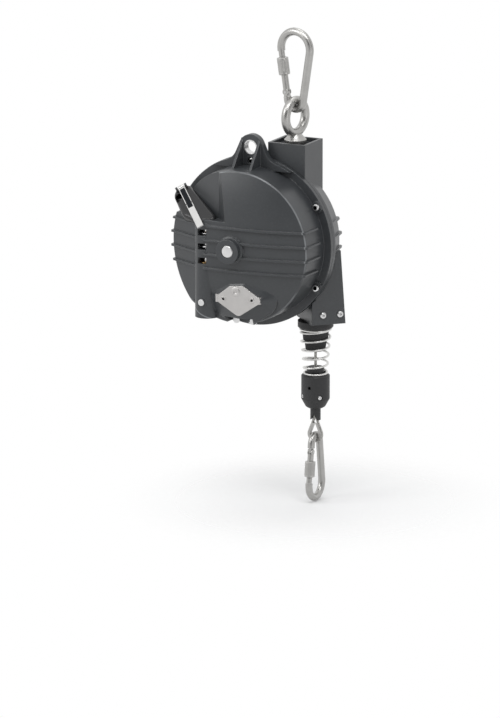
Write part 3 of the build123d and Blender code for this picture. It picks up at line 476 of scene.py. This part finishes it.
def rope_wire():
    """Six strands laid round the straight rope, each with its own fine wires."""
    rope = Finish("wire rope", Metallic=1.0)
    x, y, z = rope.axes((rope_x, 0, 0))
    turn = y.angle_to(x) * strand_count + z * (strand_count * tau / rope_lay)
    strand = 1 - abs((turn * 0.5).sine()) ** 3.0
    wires = (y.angle_to(x) * strand_count - z * (tau / wire_lay)).sine()
    grease = rope.noise(120, 3)
    # The valleys between the strands are painted dark: painted shade in the grooves of a rope that is smooth
    # and only bumped.
    colour = rope.mix(strand, (0.16, 0.155, 0.145), (0.62, 0.61, 0.585))
    colour = rope.mix(grease.above(0.5, 0.75) * 0.4, colour, (0.22, 0.21, 0.19))
    rough = 0.34 + grease * 0.18
    return rope.finish(colour, rough, rope.bump(strand + wires * 0.18, 0.0003, 0.8))


def strand_wire():
    """One strand of the loop: fine wires laid the other way."""
    wire = Finish("strand wire", Metallic=1.0)
    grease = wire.noise(150, 3)
    lay = wire.noise(2600, 2, (1, 1, 0.25))
    colour = wire.mix(grease, (0.40, 0.395, 0.375), (0.66, 0.65, 0.63))
    colour = wire.mix(lay.above(0.5, 0.62) * 0.4, colour, (0.24, 0.235, 0.22))
    rough = 0.3 + grease * 0.15
    return wire.finish(colour, rough, wire.bump(lay, 0.00006, 0.7))


def bronze():
    metal = Finish("bronze", Metallic=1.0)
    rounded = metal.soft_normal(0.0003)
    tarnish = metal.noise(120, 4)
    rings = (metal.axes()[1] * 11000).sine()
    colour = metal.mix(tarnish, (0.40, 0.24, 0.10), (0.62, 0.42, 0.19))
    rough = 0.28 + tarnish * 0.16
    return metal.finish(colour, rough, metal.bump(rings * 0.4 + tarnish, 0.00001, 0.5, rounded))


def drum_alloy():
    alloy = Finish("drum alloy", Metallic=1.0)
    rounded = alloy.soft_normal(0.0006)
    cast = alloy.noise(500, 4)
    rings = (alloy.axes((drum_x, 0, drum_z))[1] * 7000).sine()
    colour = alloy.mix(cast, (0.55, 0.55, 0.56), (0.68, 0.68, 0.69))
    rough = 0.34 + cast * 0.15
    return alloy.finish(colour, rough, alloy.bump(cast + rings * 0.3, 0.00002, 0.5, rounded))


def dress(material, *names):
    """Give the frame's nodes their finish."""
    for name in names:
        node = nodes[name]
        if not node.material_slots:
            node.data.materials.append(material)
        for slot in node.material_slots:
            slot.material = material


# Pieces

def piece(name, shape, material, body):
    """Turn a bmesh into an object that rides on a body, or on none yet."""
    mesh = bpy.data.meshes.new(name)
    bmesh.ops.remove_doubles(shape, verts=shape.verts, dist=0.00001)
    bmesh.ops.recalc_face_normals(shape, faces=shape.faces)
    shape.to_mesh(mesh)
    shape.free()
    mesh.materials.append(material)
    made = bpy.data.objects.new(name, mesh)
    bpy.context.scene.collection.objects.link(made)
    if body:
        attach(made, body)
    return made


def smooth(made, angle=35):
    bpy.context.view_layer.objects.active = made
    for other in bpy.context.selected_objects:
        other.select_set(False)
    made.select_set(True)
    bpy.ops.object.shade_smooth_by_angle(angle=radians(angle))
    made.select_set(False)
    return made


def outward(place, axis, spin=0.0):
    """A matrix that puts +Z on the axis and the origin at the place."""
    turn = Vector(axis).normalized().to_track_quat("Z", "Y").to_matrix().to_4x4()
    return Matrix.Translation(place) @ turn @ Matrix.Rotation(spin, 4, "Z")


def ring(shape, radius, height, points, lobes=0.0):
    """A loop of points at a height; lobes makes it a star of six rounded points."""
    made = bmesh.ops.create_circle(shape, radius=radius, segments=points)["verts"]
    for point in made:
        angle = atan2(point.co.y, point.co.x)
        swell = 1 + lobes * cos(6 * angle)
        point.co = Vector((point.co.x * swell, point.co.y * swell, height))
    return made


def edges_of(points):
    chosen = set(points)
    touching = [edge for point in points for edge in point.link_edges]
    return [edge for edge in touching if all(end in chosen for end in edge.verts)]


def stack(shape, loops, points=24):
    """Bridge loops of (radius, height, lobes) one to the next, and close both ends."""
    rings = [ring(shape, radius, height, points, lobes) for radius, height, lobes in loops]
    for low, high in zip(rings, rings[1:]):
        bmesh.ops.bridge_loops(shape, edges=list(set(edges_of(low) + edges_of(high))))
    for end in (rings[0], rings[-1]):
        bmesh.ops.contextual_create(shape, geom=end)
    return [point for loop in rings for point in loop]


# Screw heads from the foot up: share of the head's radius, share of its height, lobes of the recess
pan_head = [(0.97, 0, 0), (1, 0.16, 0), (0.98, 0.42, 0), (0.88, 0.74, 0), (0.70, 0.93, 0), (0.54, 1, 0),
            (0.42, 1, 0.09), (0.38, 0.93, 0.12), (0.36, 0.35, 0.13), (0.2, 0.22, 0.05)]
cap_head = [(0.96, 0, 0), (1, 0.06, 0), (1, 0.84, 0), (0.95, 0.95, 0), (0.86, 1, 0), (0.60, 1, 0),
            (0.53, 0.95, 0.04), (0.50, 0.4, 0.05), (0.3, 0.3, 0)]


def screw(shape, head, place, axis, radius, height, shank, length, spin):
    """A head standing on the place, and its shank going inward."""
    loops = [(shank * 0.8, -length, 0), (shank, -length + shank * 0.4, 0), (shank, 0, 0)]
    loops += [(radius * wide, height * high, lobes) for wide, high, lobes in head]
    points = stack(shape, loops)
    bmesh.ops.transform(shape, matrix=outward(place, axis, spin), verts=points)


def cover_screw_places():
    for i in range(cover_screw_count):
        angle = radians(90 + 360 / cover_screw_count * i)
        yield about_drum(cover_screw_circle * cos(angle), cover_screw_seat, cover_screw_circle * sin(angle))


def cover_screws():
    shape = bmesh.new()
    for i, place in enumerate(cover_screw_places()):
        screw(shape, cap_head, place, (0, -1, 0), 0.0046, 0.005, 0.003, 0.023, 0.2 + i)
    made = smooth(piece("cover_screw_set", shape, screw_finish, "housing"))
    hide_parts("cover_screws")


def guide_screws():
    shape = bmesh.new()
    across = Vector((sin(outlet_turn), -cos(outlet_turn), 0))
    along = Vector((cos(outlet_turn), sin(outlet_turn), 0))
    for i in range(2):
        place = Vector((rope_x, 0, guide_screw_z)) + across * guide_screw_face
        place += along * guide_screw_pitch * i
        screw(shape, pan_head, place, across, 0.00475, 0.003, 0.0025, 0.012, 0.4 + i)
    made = smooth(piece("guide_screw_set", shape, screw_finish, "housing"))
    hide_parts("guide_screws")


def clamp_screws():
    shape = bmesh.new()
    for i in range(clamp_screw_count):
        angle = radians(45 + 360 / clamp_screw_count * i)
        out = Vector((cos(angle), sin(angle), 0))
        place = Vector((rope_x, 0, clamp_screw_z)) + out * clamp_screw_face
        screw(shape, pan_head, place, out, 0.0033, 0.0016, 0.00225, 0.0095, 0.5 * i)
    made = smooth(piece("clamp_screw_set", shape, screw_finish, "rope_end"))
    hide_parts("clamp_screws")


def plate_screws():
    """Flush screws in the zinc plate, level with its face."""
    loops = [(0.0020, -0.008, 0), (0.0022, -0.0022, 0), (0.0040, -0.0004, 0), (0.0043, 0, 0),
             (0.0042, 0.0003, 0), (0.0018, 0.0003, 0.05), (0.0015, -0.0001, 0.1), (0.0013, -0.0012, 0.1)]
    shape = bmesh.new()
    for i, (x, z) in enumerate(plate_screw_places):
        points = stack(shape, loops)
        turn = outward(about_drum(x, plate_face_y, z), (0, -1, 0), 0.4 + i)
        bmesh.ops.transform(shape, matrix=turn, verts=points)
    made = smooth(piece("plate_screw_set", shape, plate_finish, "housing"))
    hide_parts("plate_screws")


def plate_dimple():
    """The round pressing near the plate's upper corner, with a small pierced hole."""
    loops = [(0.0072, -0.0006, 0), (0.0070, 0.0002, 0), (0.0060, 0.0008, 0), (0.0046, 0.0010, 0),
             (0.0030, 0.0009, 0), (0.0022, 0.0004, 0), (0.0016, 0.0001, 0), (0.0012, -0.0004, 0)]
    shape = bmesh.new()
    points = stack(shape, loops, 40)
    place = about_drum(plate_dimple_x, plate_face_y, plate_dimple_z)
    bmesh.ops.transform(shape, matrix=outward(place, (0, -1, 0)), verts=points)
    smooth(piece("plate_dimple", shape, plate_finish, "housing"))


def loop_line():
    """Points down one leg of the rope's loop, round the thimble and up the other leg."""
    centre = Vector((rope_x, 0, loop_z))
    legs = []
    for side in (-1, 1):
        touch = centre + Vector((side * cos(loop_lean), 0, sin(loop_lean))) * loop_radius
        bend = touch + Vector((-side * sin(loop_lean), 0, cos(loop_lean))) * loop_leg
        high = bend + Vector((0, 0, loop_end))
        upper = [high.lerp(bend, i / 24) for i in range(24)]
        lower = [bend.lerp(touch, i / 16) for i in range(16)]
        legs.append(upper + lower)
    turn = pi + 2 * loop_lean
    angles = [pi - loop_lean + turn * i / 44 for i in range(45)]
    bow = [centre + Vector((cos(angle), 0, sin(angle))) * loop_radius for angle in angles]
    return legs[0] + bow + legs[1][::-1]


def tube(shape, line, radius, sides=8):
    """A round tube grown along a line of points, closed at both ends."""
    held = Matrix.Identity(4)
    made = bmesh.ops.create_circle(shape, cap_ends=True, radius=radius, segments=sides)["verts"]
    end = made[0].link_faces[0]
    for i, place in enumerate(line):
        ahead = line[min(i + 1, len(line) - 1)] - line[max(i - 1, 0)]
        wanted = Matrix.Translation(place) @ ahead.to_track_quat("Z", "Y").to_matrix().to_4x4()
        if i:
            grown = bmesh.ops.extrude_face_region(shape, geom=[end])["geom"]
            made = [part for part in grown if isinstance(part, bmesh.types.BMVert)]
            end = [part for part in grown if isinstance(part, bmesh.types.BMFace)][0]
        bmesh.ops.transform(shape, matrix=wanted @ held.inverted(), verts=made)
        held = wanted


def rope_strands():
    """The loop round the thimble, strand by strand."""
    line = loop_line()
    shape = bmesh.new()
    for strand in range(strand_count):
        path = []
        run = 0.0
        for i, place in enumerate(line):
            ahead = (line[min(i + 1, len(line) - 1)] - line[max(i - 1, 0)]).normalized()
            across = ahead.cross(Vector((0, 1, 0)))
            if i:
                run += (place - line[i - 1]).length
            angle = tau * (strand / strand_count + run / strand_lay)
            path.append(place + (across * cos(angle) + Vector((0, 1, 0)) * sin(angle)) * strand_circle)
        tube(shape, path, strand_radius)
    made = smooth(piece("rope_strands", shape, strand_finish, "rope_end"), 60)
    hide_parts("rope_loop")


def running_rope():
    """The straight rope from the drum down into the clamp, laid at rest; it rides on no body."""
    leaves_drum = Vector((rope_x, 0, drum_z - 0.0005))
    in_clamp = Vector((rope_x, 0, clamp_top - 0.012))
    shape = bmesh.new()
    tube(shape, [in_clamp.lerp(leaves_drum, i / 40) for i in range(41)], rope_radius, 16)
    made = smooth(piece("running_rope", shape, rope_finish, None), 60)
    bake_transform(made)
    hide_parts("rope_fall")


# Stage

floor_glow = 0.2
shadow_reach = 0.30
dark_side = (0.62, -0.74, 0.1)
object_middle = Vector((0, 0, -0.3))


def floor():
    """A floor seen only from above and near the object, so that the paid-out rope passes through it."""
    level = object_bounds()[0][2] - 0.0008
    shape = bmesh.new()
    bmesh.ops.create_grid(shape, x_segments=1, y_segments=1, size=30)
    bmesh.ops.translate(shape, vec=(0, 0, level), verts=shape.verts)
    mesh = bpy.data.meshes.new("floor")
    shape.to_mesh(mesh)
    shape.free()
    made = bpy.data.objects.new("floor", mesh)
    bpy.context.scene.collection.objects.link(made)
    ground = Finish("pale floor", Base_Color=(0.72, 0.72, 0.72, 1), Roughness=0.9)
    x, y, z = ground.axes((rope_x, 0, level))
    far = ((x * x + y * y) ** 0.5).above(0.02, shadow_reach)
    camera_ray = ground.add("ShaderNodeLightPath", output="Is Camera Ray")
    glossy_ray = ground.add("ShaderNodeLightPath", output="Is Glossy Ray")
    near_glow = ground.add("ShaderNodeEmission", {"Color": (1, 1, 1, 1), "Strength": floor_glow})
    white = ground.add("ShaderNodeEmission", {"Color": (1, 1, 1, 1), "Strength": 1.0})
    surface = Value(ground, ground.shader.outputs[0])
    clear = ground.add("ShaderNodeBsdfTransparent")
    from_below = ground.add("ShaderNodeNewGeometry", output="Backfacing")
    near = ground.add("ShaderNodeAddShader", {0: surface, 1: near_glow})
    distant = ground.add("ShaderNodeMixShader", {0: camera_ray, 1: white, 2: clear})
    shown = ground.add("ShaderNodeMixShader", {0: far, 1: near, 2: distant})
    seen = (camera_ray + glossy_ray).above(0.4, 0.6)
    above = ground.add("ShaderNodeMixShader", {0: seen, 1: surface, 2: shown})
    total = ground.add("ShaderNodeMixShader", {0: from_below, 1: above, 2: clear})
    ground.tree.links.new(total.socket, ground.tree.nodes["Material Output"].inputs["Surface"])
    mesh.materials.append(ground.material)
    made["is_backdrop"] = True


def world():
    """White to the camera, and to the object a soft room that is darker toward the front right."""
    sky = bpy.data.worlds.new("studio")
    sky.use_nodes = True
    bpy.context.scene.world = sky
    sky.node_tree.nodes.clear()
    room = Nodes(sky.node_tree)
    direction = room.add("ShaderNodeTexCoord", output="Generated")
    shade = room.dot(direction, dark_side).above(0.1, 0.9)
    camera_ray = room.add("ShaderNodeLightPath", output="Is Camera Ray")
    glossy_ray = room.add("ShaderNodeLightPath", output="Is Glossy Ray")
    lit = room.add("ShaderNodeBackground", {"Color": (0.97, 0.985, 1, 1), "Strength": 0.42})
    mirrored = room.add("ShaderNodeBackground", {"Color": (1, 1, 1, 1), "Strength": 1.0 - shade * 0.9})
    white = room.add("ShaderNodeBackground", {"Color": (1, 1, 1, 1), "Strength": 1.0})
    reflected = room.add("ShaderNodeMixShader", {0: glossy_ray, 1: lit, 2: mirrored})
    shown = room.add("ShaderNodeMixShader", {0: camera_ray, 1: reflected, 2: white})
    out = sky.node_tree.nodes.new("ShaderNodeOutputWorld")
    sky.node_tree.links.new(shown.socket, out.inputs["Surface"])


def lamp(name, place, width, height, watts):
    light = bpy.data.lights.new(name, "AREA")
    light.shape = "RECTANGLE"
    light.size = width
    light.size_y = height
    light.energy = watts
    made = bpy.data.objects.new(name, light)
    bpy.context.scene.collection.objects.link(made)
    made.matrix_world = outward(place, Vector(place) - object_middle)


camera()

casting_finish = painted_casting()
plastic_finish = black_plastic()
rubber_finish = black_rubber()
zinc_finish = forged_zinc()
screw_finish = screw_steel()
plate_finish = zinc_plate()
strand_finish = strand_wire()
bronze_finish = bronze()
alloy_finish = drum_alloy()
shaft_finish = turned_steel("shaft steel", 0.62, 1)
# The worm's steel is much brighter than the shaft's: painted light, so that it reads lit inside its shaded
# windows.
worm_brightened_finish = turned_steel("worm steel painted bright", 0.98, 2)

dress(casting_finish, "rear_housing", "front_cover")
dress(lobe_plastic(), "lock_boss")
dress(plastic_finish, "guide_flange", "rope_guide", "clamp_body", "neck_sleeve")
dress(rubber_finish, "rope_bumper")
dress(seal_rubber(), "flange_gasket")
dress(zinc_finish, "eye_bolt", "top_hook", "top_gate", "bottom_hook", "bottom_gate", "thimble")
top_sleeve_place = about_drum(0.02725, 0.00357, 0.24255)
dress(sleeve_zinc("top sleeve zinc", top_sleeve_place, (-0.1584, 0.0279, 0.987)), "top_sleeve")
bottom_sleeve_place = about_drum(0.0791, -0.01748, -0.32357)
dress(sleeve_zinc("bottom sleeve zinc", bottom_sleeve_place, (0, -0.1328, -0.9911)), "bottom_sleeve")
dress(lever_steel(), "lock_lever")
dress(plate_finish, "lock_plate")
dress(screw_finish, "recess_bolts", "shaft_bolt", "worm_stop_screw", "lug_bush", "thrust_washer", "eye_nut",
      "nut_pin")
dress(shaft_finish, "main_shaft", "wheel_key", "drum_circlip", "lock_pin", "top_gate_pin", "bottom_gate_pin")
dress(worm_brightened_finish, "worm")
dress(bronze_finish, "front_bush", "rear_bush", "worm_bush_upper", "worm_bush_lower", "worm_wheel",
      "drum_bushes")
dress(alloy_finish, "rope_drum", "spring_case", "spring_lid")
dress(spring_steel(), "power_spring", "buffer_spring")
rope_finish = rope_wire()
dress(rope_finish, "wound_rope")

cover_screws()
guide_screws()
clamp_screws()
plate_screws()
plate_dimple()
rope_strands()
running_rope()

floor()
world()
lamp("key from the upper left", (-1.9, -2.2, 1.5), 1.6, 1.6, 34)
lamp("fill from the right", (2.4, -1.2, 0.4), 1.2, 2.0, 10)
lamp("edge light from above the front", (0.55, -1.15, 2.1), 2.0, 1.2, 34)
lamp("rear top", (-0.3, 0.9, 2.0), 1.2, 1.2, 8)
